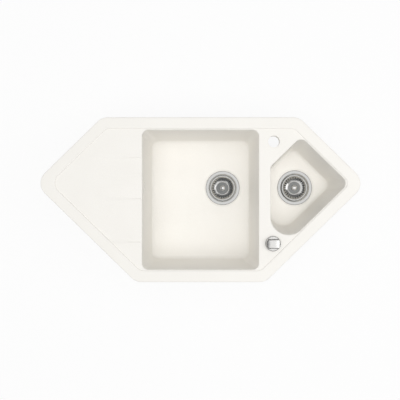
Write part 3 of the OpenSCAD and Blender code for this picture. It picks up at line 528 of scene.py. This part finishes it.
# %% Control knob
KNOB_R, KNOB_EDGE_R = 22.0, 1.5
GRIP_TOP, GRIP_SHOULDER, GRIP_FOOT, SHOULDER_DROP = 11.4, 14.3, 14.8, 2.6
GRIP_CROWN = 110  # twice the radius of the parabola along the grip
KNOB_BASE, HOLLOW_Z, GRIP_Z = DECK_Z + 6.1, DECK_Z + 8.6, DECK_Z + 19.8
HOLLOW_ROWS_TO, EDGE_BAND = 20.2, 1.4
KNOB_STEM = [(22.0, KNOB_BASE + 0.7), (21.3, KNOB_BASE), (5.0, KNOB_BASE), (5.0, -45.0),
             (3.0, -45.0), (3.0, -49.0), (0.0, -49.0)]


def knob_height(x, y):
    """The hollows lie at one height. The grip falls off along x by x squared over its crown;
    across, it has a sloping shoulder and then an upright wall. The disc's edge is rounded by a
    quarter circle."""
    shoulder = 1 - SHOULDER_DROP / (GRIP_Z - HOLLOW_Z)
    grip = np.interp(np.abs(y), [GRIP_TOP, GRIP_SHOULDER, GRIP_FOOT], [1.0, shoulder, 0.0])
    over_edge = np.clip(np.hypot(x, y) - KNOB_R + KNOB_EDGE_R, 0, KNOB_EDGE_R)
    rounding = KNOB_EDGE_R - np.sqrt(KNOB_EDGE_R ** 2 - over_edge ** 2)
    return HOLLOW_Z + grip * (GRIP_Z - x ** 2 / GRIP_CROWN - HOLLOW_Z) - rounding


def knob_surface():
    """Rows along y, closer at the grip's walls and at the edge; along each row x runs over the
    disc's chord as the sine of evenly spaced angles. The chords' ends are the disc's edge, and
    rings of the stem's section hang from it."""
    half = np.concatenate([
        np.linspace(0, GRIP_TOP, 9), np.linspace(GRIP_TOP, GRIP_SHOULDER, 5)[1:],
        np.linspace(GRIP_FOOT, HOLLOW_ROWS_TO, 8), KNOB_R - EDGE_BAND * np.linspace(1, 0, 9) ** 2])
    rows = np.concatenate([-half[:0:-1], half])
    chord = np.sqrt(np.clip(KNOB_R ** 2 - rows ** 2, 0, None))
    x = chord[:, None] * np.sin(np.linspace(-math.pi / 2, math.pi / 2, 49))
    y = np.broadcast_to(rows[:, None], x.shape)
    grid = np.stack([x, y, knob_height(x, y)], -1)
    height, width = x.shape
    r, c = np.meshgrid(np.arange(height - 1), np.arange(width - 1), indexing="ij")
    first = r * width + c
    quads = np.stack([first, first + 1, first + width + 1, first + width], -1).reshape(-1, 4)
    knob = Surface()
    knob.add(grid.reshape(-1, 3), quads)
    edge = np.vstack([grid[:, -1], grid[-2:0:-1, 0]])
    knob.strip([edge] + [raised(edge[:, :2] * radius / KNOB_R, z) for radius, z in KNOB_STEM])
    for points in knob.points:
        points[:, :2] += KNOB_AT
    return knob


def finished(name, mesh, body, node):
    """A mesh as a piece: smooth between sharp edges, riding on a body in place of a CAD node."""
    mesh.polygons.foreach_set("use_smooth", np.ones(len(mesh.polygons), bool))
    mesh.set_sharp_from_angle(angle=SHARP_FROM)
    piece = bpy.data.objects.new(name, mesh)
    bpy.context.scene.collection.objects.link(piece)
    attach(piece, body)
    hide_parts(node)
    return piece


knob = finished("waste_knob", knob_surface().mesh("waste_knob"), "knob", "control_knob")
print("knob:", len(knob.data.polygons), "faces")

# %% Basket knobs
CAP_R, CAP_H, CAP_TOP = 9.45, 4.2, 9.2
KNOB_FOOT_BELOW = 14.2  # from a bowl's floor down to the basket's disc
DRAINS = (("main", MAIN_DRAIN, MAIN_FLOOR), ("small", SMALL_DRAIN, SMALL_FLOOR))


def basket_knob(name, drain, disc_z, body, node):
    """A foot, a neck and a cap; the cap's top is a quarter ellipse from the edge to the axis."""
    turn = np.radians(np.linspace(0, 90, 15))
    cap = np.stack([CAP_R * np.cos(turn), CAP_TOP - CAP_H + CAP_H * np.sin(turn)], 1)
    section = np.vstack([[[0, 0], [7, 0], [7, 0.8], [3.6, 1.8], [3.6, 4.2], [8.9, 4.4]], cap])
    surface = Surface()
    surface.strip([raised(circle_loop(drain, r, 48), disc_z + z) for r, z in section])
    return finished(name, surface.mesh(name), body, node)


basket_knobs = [
    basket_knob(f"{which}_knob", drain, bowl_floor - KNOB_FOOT_BELOW,
                f"{which}_basket", f"{which}_basket_knob")
    for which, drain, bowl_floor in DRAINS]
print("basket knobs:", [len(piece.data.polygons) for piece in basket_knobs])

# %% [markdown]
# ## Baskets
#
# A basket is one pressed sheet: a disc with a bevelled edge, a shallow dish round it, a rim, and
# underneath the boss that holds its seal. It is turned from one section. The ring of slots is
# punched, so it is cut: all the punches are one mesh, and one exact boolean takes them away.

# %% Baskets
DISC_R, DISH_R, FLANGE_BELOW = 21.6, 39.6, 2.8
SLOTS, SLOT_W, SLOT_FROM, SLOT_TO = 26, 3.4, 27.0, 36.5


def basket_section():
    """(radius, height) from the axis over the disc, the dish and the rim, and back underneath. The
    dish rises evenly for the most part, plus a share that grows with the fourth power."""
    share = np.linspace(0, 1, 11)
    rise = 0.55 * share + 0.45 * share ** 4
    dish = np.stack([DISC_R + share * (DISH_R - DISC_R), -11.9 + 7.6 * rise], 1)
    disc = [[0, -11.1], [19.9, -11.1], [20.3, -11.2], [21.2, -11.8]]
    rim = [[42.0, -4.3], [42.3, -4.6], [42.3, -5.1], [39.8, -5.1]]
    below = dish[::-1] + [0.3, -0.8]
    boss = [[5, -12.7], [5, -21.8], [25, -21.8], [25, -23], [14, -23], [14, -25.4], [12.4, -25.4],
            [12.4, -23], [0, -23]]
    return np.vstack([disc, dish, rim, below[1:], boss])


def punches(drain, level):
    """One upright prism for each slot: two half circles joined by straight sides, turned round the
    drain's axis in even steps."""
    along = (SLOT_TO - SLOT_FROM) / 2 - SLOT_W / 2
    outline = np.vstack([arc((along, 0), SLOT_W / 2, -90, 90, 9),
                         arc((-along, 0), SLOT_W / 2, 90, 270, 9)])
    outline[:, 0] += (SLOT_FROM + SLOT_TO) / 2
    tool, count = Surface(), len(outline)
    for angle in np.arange(SLOTS) * 2 * math.pi / SLOTS:
        turn = np.array([[math.cos(angle), math.sin(angle)], [-math.sin(angle), math.cos(angle)]])
        foot, head = (raised(outline @ turn + drain, level + z) for z in (-16.0, 0.0))
        tool.strip([foot, head])
        tool.add(foot, [list(range(count))])
        tool.add(head, [list(range(count))])
    return bpy.data.objects.new("punches", tool.mesh("punches"))


def basket(name, drain, level, body, node):
    """The turned section with its slots punched out."""
    surface = Surface()
    surface.strip([raised(circle_loop(drain, r, 96), level + z) for r, z in basket_section()])
    sheet = bpy.data.objects.new(name + "_sheet", surface.mesh(name))
    combined(sheet, punches(drain, level), "DIFFERENCE")
    mesh = sheet.data
    bpy.data.objects.remove(sheet)
    return finished(name, mesh, body, node)


baskets = [basket(f"{which}_strainer", drain, bowl_floor - FLANGE_BELOW,
                  f"{which}_basket", f"{which}_basket")
           for which, drain, bowl_floor in DRAINS]
print("baskets:", [len(piece.data.polygons) for piece in baskets], "faces")

# %% [markdown]
# ## Finishes
#
# Colours are written as the sRGB hex values that one would read off a good photograph, and one
# function turns them to the linear numbers that a renderer adds up. One more function adds a node
# to a material, with its settings and what feeds it, so each finish reads as a short recipe.

# %% Colour and node helpers
def linear(hex_colour, alpha=1.0):
    """An sRGB hex colour as linear numbers: below 0.04045 a straight line, above it a power of
    2.4."""
    value = np.array([int(hex_colour[i:i + 2], 16) for i in (1, 3, 5)]) / 255
    value = np.where(value <= 0.04045, value / 12.92, ((value + 0.055) / 1.055) ** 2.4)
    return (*value.tolist(), alpha)


def add_node(tree, kind, settings=None, **inputs):
    """Adds one node: settings are its own properties, inputs are values or sockets that feed it."""
    node = tree.nodes.new(kind)
    for name, value in (settings or {}).items():
        setattr(node, name, value)
    for name, value in inputs.items():
        socket = node.inputs[int(name[3:]) if name.startswith("in_") else name.replace("_", " ")]
        if isinstance(value, bpy.types.NodeSocket):
            tree.links.new(value, socket)
        else:
            socket.default_value = value
    return node


def new_material(name):
    """A material with its tree, shader and output, and the object's own coordinates."""
    material = bpy.data.materials.new(name)
    material.use_nodes = True
    tree = material.node_tree
    tree.nodes.clear()
    shader = add_node(tree, "ShaderNodeBsdfPrincipled")
    output = add_node(tree, "ShaderNodeOutputMaterial")
    tree.links.new(shader.outputs["BSDF"], output.inputs["Surface"])
    place = add_node(tree, "ShaderNodeTexCoord").outputs["Object"]
    return material, tree, shader, place


print("cream is", [round(c, 3) for c in linear("#F0EDE7")])

# %% [markdown]
# ### Granite composite
#
# Four fifths of the moulding is quartz sand, held in acrylic resin. The sand is finer than a
# millimetre and coloured to the same cream as the resin, so from a metre away the surface is one
# even matt colour, and close by it shows a soft speckle. Two noises make that: one of the size of
# the larger grains, one much broader for the slight cloudiness of a poured mix. The mould leaves a
# faint satin grain, which is a bump of a few hundredths of a millimetre.

# %% Granite composite
GRAIN_MM, CLOUD_MM, GRAIN_HEIGHT_MM = 1.6, 90.0, 0.08


def granite_composite():
    material, tree, shader, place = new_material("granite_composite_moulded")
    grain = add_node(tree, "ShaderNodeTexNoise", Vector=place, Scale=1 / (GRAIN_MM * MM),
                     Detail=3.0, Roughness=0.6)
    cloud = add_node(tree, "ShaderNodeTexNoise", Vector=place, Scale=1 / (CLOUD_MM * MM),
                     Detail=2.0)
    mixed = add_node(tree, "ShaderNodeMath", {"operation": "MULTIPLY_ADD"},
                     in_0=cloud.outputs["Fac"], in_1=0.25, in_2=grain.outputs["Fac"])
    share = add_node(tree, "ShaderNodeMapRange", in_0=mixed.outputs[0], in_1=0.35, in_2=0.9)
    tone = add_node(tree, "ShaderNodeMix", {"data_type": "RGBA"},
                    in_0=share.outputs[0], in_6=linear("#F0EDE7"), in_7=linear("#FAF8F3"))
    tree.links.new(tone.outputs[2], shader.inputs["Base Color"])
    rough = add_node(tree, "ShaderNodeMapRange", in_0=grain.outputs["Fac"], in_3=0.48, in_4=0.62)
    tree.links.new(rough.outputs[0], shader.inputs["Roughness"])
    bump = add_node(tree, "ShaderNodeBump", Height=grain.outputs["Fac"],
                    Strength=0.25, Distance=GRAIN_HEIGHT_MM * MM)
    tree.links.new(bump.outputs["Normal"], shader.inputs["Normal"])
    shader.inputs["IOR"].default_value = 1.5
    return material


# %% [markdown]
# ### Metals
#
# The strainers are pressed from stainless steel and polished, the knob is zinc plated with chrome,
# the bolts and the lever are turned or bent from plain stainless, and the clamps are galvanised.
# A metal's colour is its reflectance, so stainless is a mid grey and chrome a little bluer and
# lighter. What tells them apart is roughness: almost none on chrome, fine circular or drawn lines
# on turned steel, a blotchy spangle on zinc.

# %% Metals
def metal(name, low, high, roughness, spread, grain_mm, stretch=(1.0, 1.0, 1.0), bump_mm=0.002):
    """A metal whose tone and roughness vary a little with a noise of the given grain, stretched
    along an axis where the surface was drawn or turned."""
    material, tree, shader, place = new_material(name)
    shader.inputs["Metallic"].default_value = 1.0
    mapped = add_node(tree, "ShaderNodeMapping", Vector=place, Scale=stretch)
    grain = add_node(tree, "ShaderNodeTexNoise", Vector=mapped.outputs[0],
                     Scale=1 / (grain_mm * MM), Detail=4.0)
    tone = add_node(tree, "ShaderNodeMix", {"data_type": "RGBA"},
                    in_0=grain.outputs["Fac"], in_6=linear(low), in_7=linear(high))
    tree.links.new(tone.outputs[2], shader.inputs["Base Color"])
    rough = add_node(tree, "ShaderNodeMapRange", in_0=grain.outputs["Fac"],
                     in_3=roughness - spread, in_4=roughness + spread)
    tree.links.new(rough.outputs[0], shader.inputs["Roughness"])
    bump = add_node(tree, "ShaderNodeBump", Height=grain.outputs["Fac"],
                    Strength=0.3, Distance=bump_mm * MM)
    tree.links.new(bump.outputs["Normal"], shader.inputs["Normal"])
    return material


# %% [markdown]
# ### The strainers' steel
#
# A basket is pressed from the same polished sheet, but the press leaves the flat disc under its
# knob matt, and the inside of the cup below isn't polished either. So this finish is the polished
# steel with one change by place: within a radius, measured from the drain's axis on the object's
# own coordinates, it is rougher, for that matt finish, and darker, which is painted shade: the dim
# reflection on the disc and the shade inside the cup under the slots.

# %% Strainer steel
SATIN_AND_SHADE_FADE, STEEL_GRAIN_MM = 0.4, 2.0


def strainer_steel(name, drain, satin_and_shade_r):
    """Polished steel, satin and darkened by painted shade within a radius in mm of the drain's
    axis.
    """
    material, tree, shader, place = new_material(name)
    shader.inputs["Metallic"].default_value = 1.0
    flat = add_node(tree, "ShaderNodeVectorMath", {"operation": "MULTIPLY"},
                    in_0=place, in_1=(1, 1, 0))
    away = add_node(tree, "ShaderNodeVectorMath", {"operation": "DISTANCE"},
                    in_0=flat.outputs[0], in_1=(drain[0] * MM, drain[1] * MM, 0))
    share = add_node(tree, "ShaderNodeMapRange", in_0=away.outputs["Value"],
                     in_1=(satin_and_shade_r - SATIN_AND_SHADE_FADE) * MM, in_2=(satin_and_shade_r + SATIN_AND_SHADE_FADE) * MM)
    grain = add_node(tree, "ShaderNodeTexNoise", Vector=place, Scale=1 / (STEEL_GRAIN_MM * MM),
                     Detail=4.0)
    # The satin tones are darker than the polished ones: painted shade, for the dim reflection on
    # the disc and the shade inside the cup.
    satin = add_node(tree, "ShaderNodeMix", {"data_type": "RGBA"},
                     in_0=grain.outputs["Fac"], in_6=linear("#8E9090"), in_7=linear("#9D9E9E"))
    polished = add_node(tree, "ShaderNodeMix", {"data_type": "RGBA"},
                        in_0=grain.outputs["Fac"], in_6=linear("#BABAB9"), in_7=linear("#C7C7C5"))
    tone = add_node(tree, "ShaderNodeMix", {"data_type": "RGBA"},
                    in_0=share.outputs[0], in_6=satin.outputs[2], in_7=polished.outputs[2])
    tree.links.new(tone.outputs[2], shader.inputs["Base Color"])
    rough = add_node(tree, "ShaderNodeMapRange", in_0=share.outputs[0], in_3=0.45, in_4=0.15)
    tree.links.new(rough.outputs[0], shader.inputs["Roughness"])
    bump = add_node(tree, "ShaderNodeBump", Height=grain.outputs["Fac"],
                    Strength=0.3, Distance=0.003 * MM)
    tree.links.new(bump.outputs["Normal"], shader.inputs["Normal"])
    return material


# %% [markdown]
# ### Plastics and rubber
#
# The wastes and pipes are injection-moulded polypropylene, which is slightly waxy: a soft sheen
# and a very fine mould grain. The seals are black rubber, matt, with a little pale dust.

# %% Plastics and rubber
def moulded(name, low, high, roughness, grain_mm, bump_mm, ior=1.49):
    """A moulded polymer: nearly one colour, with a fine grain in tone, gloss and height."""
    material, tree, shader, place = new_material(name)
    grain = add_node(tree, "ShaderNodeTexNoise", Vector=place, Scale=1 / (grain_mm * MM),
                     Detail=3.0)
    tone = add_node(tree, "ShaderNodeMix", {"data_type": "RGBA"},
                    in_0=grain.outputs["Fac"], in_6=linear(low), in_7=linear(high))
    tree.links.new(tone.outputs[2], shader.inputs["Base Color"])
    rough = add_node(tree, "ShaderNodeMapRange", in_0=grain.outputs["Fac"],
                     in_3=roughness - 0.06, in_4=roughness + 0.06)
    tree.links.new(rough.outputs[0], shader.inputs["Roughness"])
    bump = add_node(tree, "ShaderNodeBump", Height=grain.outputs["Fac"],
                    Strength=0.3, Distance=bump_mm * MM)
    tree.links.new(bump.outputs["Normal"], shader.inputs["Normal"])
    shader.inputs["IOR"].default_value = ior
    return material


# %% [markdown]
# ### Dressing the frame
#
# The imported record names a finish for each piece, so the frame is dressed by that name alone. The
# control knob is the exception: its casting is brushed before plating, so its chrome is satin.

# %% Finishes by slot
FINISHES = {
    "granite_composite": granite_composite(),
    "polished_steel": metal("stainless_steel_polished", "#BABAB9", "#C7C7C5", 0.16, 0.04, 2.0),
    "chrome": metal("zinc_casting_chromed", "#DCDCDB", "#E5E5E4", 0.12, 0.03, 4.0),
    "machined_steel": metal("stainless_steel_turned", "#B4B5B5", "#C3C4C4", 0.3, 0.08, 0.6,
                            stretch=(1.0, 1.0, 8.0)),
    "zinc_metal": metal("steel_galvanised", "#9EA2A6", "#BDC1C4", 0.42, 0.12, 5.0, bump_mm=0.01),
    "brass": metal("brass_turned", "#B59A55", "#CBB26E", 0.28, 0.06, 0.8),
    "rubber": moulded("rubber_black", "#232425", "#303132", 0.72, 1.2, 0.02, 1.52),
    "grey_plastic": moulded("polypropylene_grey", "#AEB2B5", "#B8BCBF", 0.42, 0.8, 0.01),
    "light_plastic": moulded("polypropylene_white", "#DADCDD", "#E4E6E7", 0.38, 0.8, 0.01),
    "dark_plastic": moulded("polyamide_black", "#34373A", "#3E4144", 0.46, 0.8, 0.012),
}


# Radii of the rougher, darker zones: the roughness is the satin finish, the darker tone painted
# shade.
DISC_SATIN_AND_SHADE_R, CUP_SATIN_AND_SHADE_R = 19.8, 40.0


def dress(piece, finish):
    """The piece shows one finish all over."""
    piece.data.materials.clear()
    piece.data.materials.append(finish)


for part in frame["record"]["subparts"]:
    dress(NODES[part["node"]], FINISHES[part["material_slot"]])
dress(sink, FINISHES["granite_composite"])
for piece in basket_knobs:
    dress(piece, FINISHES["chrome"])
dress(knob, metal("zinc_casting_satin_chrome", "#D4D3D1", "#DEDDDB", 0.26, 0.05, 4.0))
cups = [NODES["main_strainer_cup"], NODES["small_strainer_cup"]]
# The baskets' discs and the cups' insides take the strainer steel; its darker tone there is painted
# shade.
for pieces, satin_and_shade_r, place in ((baskets, DISC_SATIN_AND_SHADE_R, "disc"), (cups, CUP_SATIN_AND_SHADE_R, "cup")):
    for piece, (_, drain, _) in zip(pieces, DRAINS):
        name = f"stainless_steel_pressed_{place}_{int(drain[0])}"
        dress(piece, strainer_steel(name, drain.tolist(), satin_and_shade_r))

# %% [markdown]
# ## Studio
#
# The photograph looks straight down from about a metre and a half, on a plain white ground. The
# light comes from overhead and is very soft: floors are as bright as the deck, upright walls a
# shade darker. Four things give that: a plain grey-white world on all sides, a broad bank of
# lamps far above, a white card over the sink and a small one at its right. The bank is hidden
# from reflections; the cards are what steel and chrome reflect, and metal sees the world darker
# than the stone does, so its curves read as bright and dark. The ground stays white to the camera
# and to reflections, and otherwise is plain matt white, so it still takes the soft shadow.

# %% Floor, world, lamps
FLOOR_Z, FLOOR_REACH, WHITE_SHARE = -0.360, 6.0, 0.85


def ground_material():
    """Matt white that answers camera, glossy and transmitted rays mostly with plain white light."""
    material, tree, shader, _ = new_material("studio_ground")
    shader.inputs["Base Color"].default_value = linear("#F4F4F4")
    shader.inputs["Roughness"].default_value = 0.9
    path = add_node(tree, "ShaderNodeLightPath")
    seen = add_node(tree, "ShaderNodeMath", {"operation": "MAXIMUM"},
                    in_0=path.outputs["Is Camera Ray"], in_1=path.outputs["Is Glossy Ray"])
    seen = add_node(tree, "ShaderNodeMath", {"operation": "MAXIMUM"},
                    in_0=seen.outputs[0], in_1=path.outputs["Is Transmission Ray"])
    share = add_node(tree, "ShaderNodeMath", {"operation": "MULTIPLY"},
                     in_0=seen.outputs[0], in_1=WHITE_SHARE)
    glow = add_node(tree, "ShaderNodeEmission", Color=(1, 1, 1, 1), Strength=1.0)
    mix = add_node(tree, "ShaderNodeMixShader", Fac=share.outputs[0])
    tree.links.new(shader.outputs["BSDF"], mix.inputs[1])
    tree.links.new(glow.outputs["Emission"], mix.inputs[2])
    output = next(node for node in tree.nodes if node.type == "OUTPUT_MATERIAL")
    tree.links.new(mix.outputs["Shader"], output.inputs["Surface"])
    return material


ground = bpy.data.meshes.new("studio_ground")
square = ((-1, -1), (1, -1), (1, 1), (-1, 1))
ground.from_pydata([(x * FLOOR_REACH, y * FLOOR_REACH, FLOOR_Z) for x, y in square], [],
                   [(0, 1, 2, 3)])
floor = bpy.data.objects.new("studio_ground", ground)
bpy.context.scene.collection.objects.link(floor)
ground.materials.append(ground_material())

world = bpy.data.worlds.new("studio")
bpy.context.scene.world = world
world.use_nodes = True
sky = world.node_tree
sky.nodes.clear()
SKY_LIGHT, SKY_IN_METAL = 0.50, 0.22
gleam = add_node(sky, "ShaderNodeLightPath").outputs["Is Glossy Ray"]
strength = add_node(sky, "ShaderNodeMapRange", in_0=gleam, in_3=SKY_LIGHT, in_4=SKY_IN_METAL)
background = add_node(sky, "ShaderNodeBackground", Color=(1, 1, 1, 1), Strength=strength.outputs[0])
add_node(sky, "ShaderNodeOutputWorld", Surface=background.outputs["Background"])


def lamp(kind, name, place, energy, **settings):
    """A lamp that looks at the middle of the sink."""
    data = bpy.data.lights.new(name, kind)
    data.energy = energy
    for key, value in settings.items():
        setattr(data, key, value)
    holder = bpy.data.objects.new(name, data)
    holder.location = place
    holder.rotation_euler = (-Vector(place)).to_track_quat("-Z", "Y").to_euler()
    bpy.context.scene.collection.objects.link(holder)
    return holder


bank = lamp("SUN", "lamp_bank", (-0.4, -0.5, 5.0), 0.95, angle=math.radians(40))
bank.visible_glossy = False
lamp("AREA", "overhead_card", (0.35, 0.0, 2.8), 18.0, shape="SQUARE", size=2.4)
lamp("AREA", "side_card", (2.0, -0.1, 2.4), 7.0, shape="SQUARE", size=1.0)

# %% [markdown]
# ## Camera
#
# Straight down, with the scale of the photograph: at the rim's height 1 mm is 0.3305 of its
# pixels, and its middle lies 1.4 mm left and 0.9 mm in front of the sink's own centre.

# %% Camera
PHOTO_PX, PX_PER_MM, CAMERA_H, SENSOR = 400, 0.3305, 1.5, 36.0
PHOTO_MIDDLE = (-0.0014, -0.0009)
view_width = PHOTO_PX / PX_PER_MM * MM
camera_data = bpy.data.cameras.new("photo_view")
camera_data.sensor_width = SENSOR
camera_data.lens = SENSOR * CAMERA_H / view_width
camera = bpy.data.objects.new("photo_view", camera_data)
camera.location = (*PHOTO_MIDDLE, CAMERA_H + RIM_H * MM)
bpy.context.scene.collection.objects.link(camera)
bpy.context.scene.camera = camera
bpy.context.scene.view_settings.view_transform = "Standard"
print("lens:", round(camera_data.lens, 2), "mm")
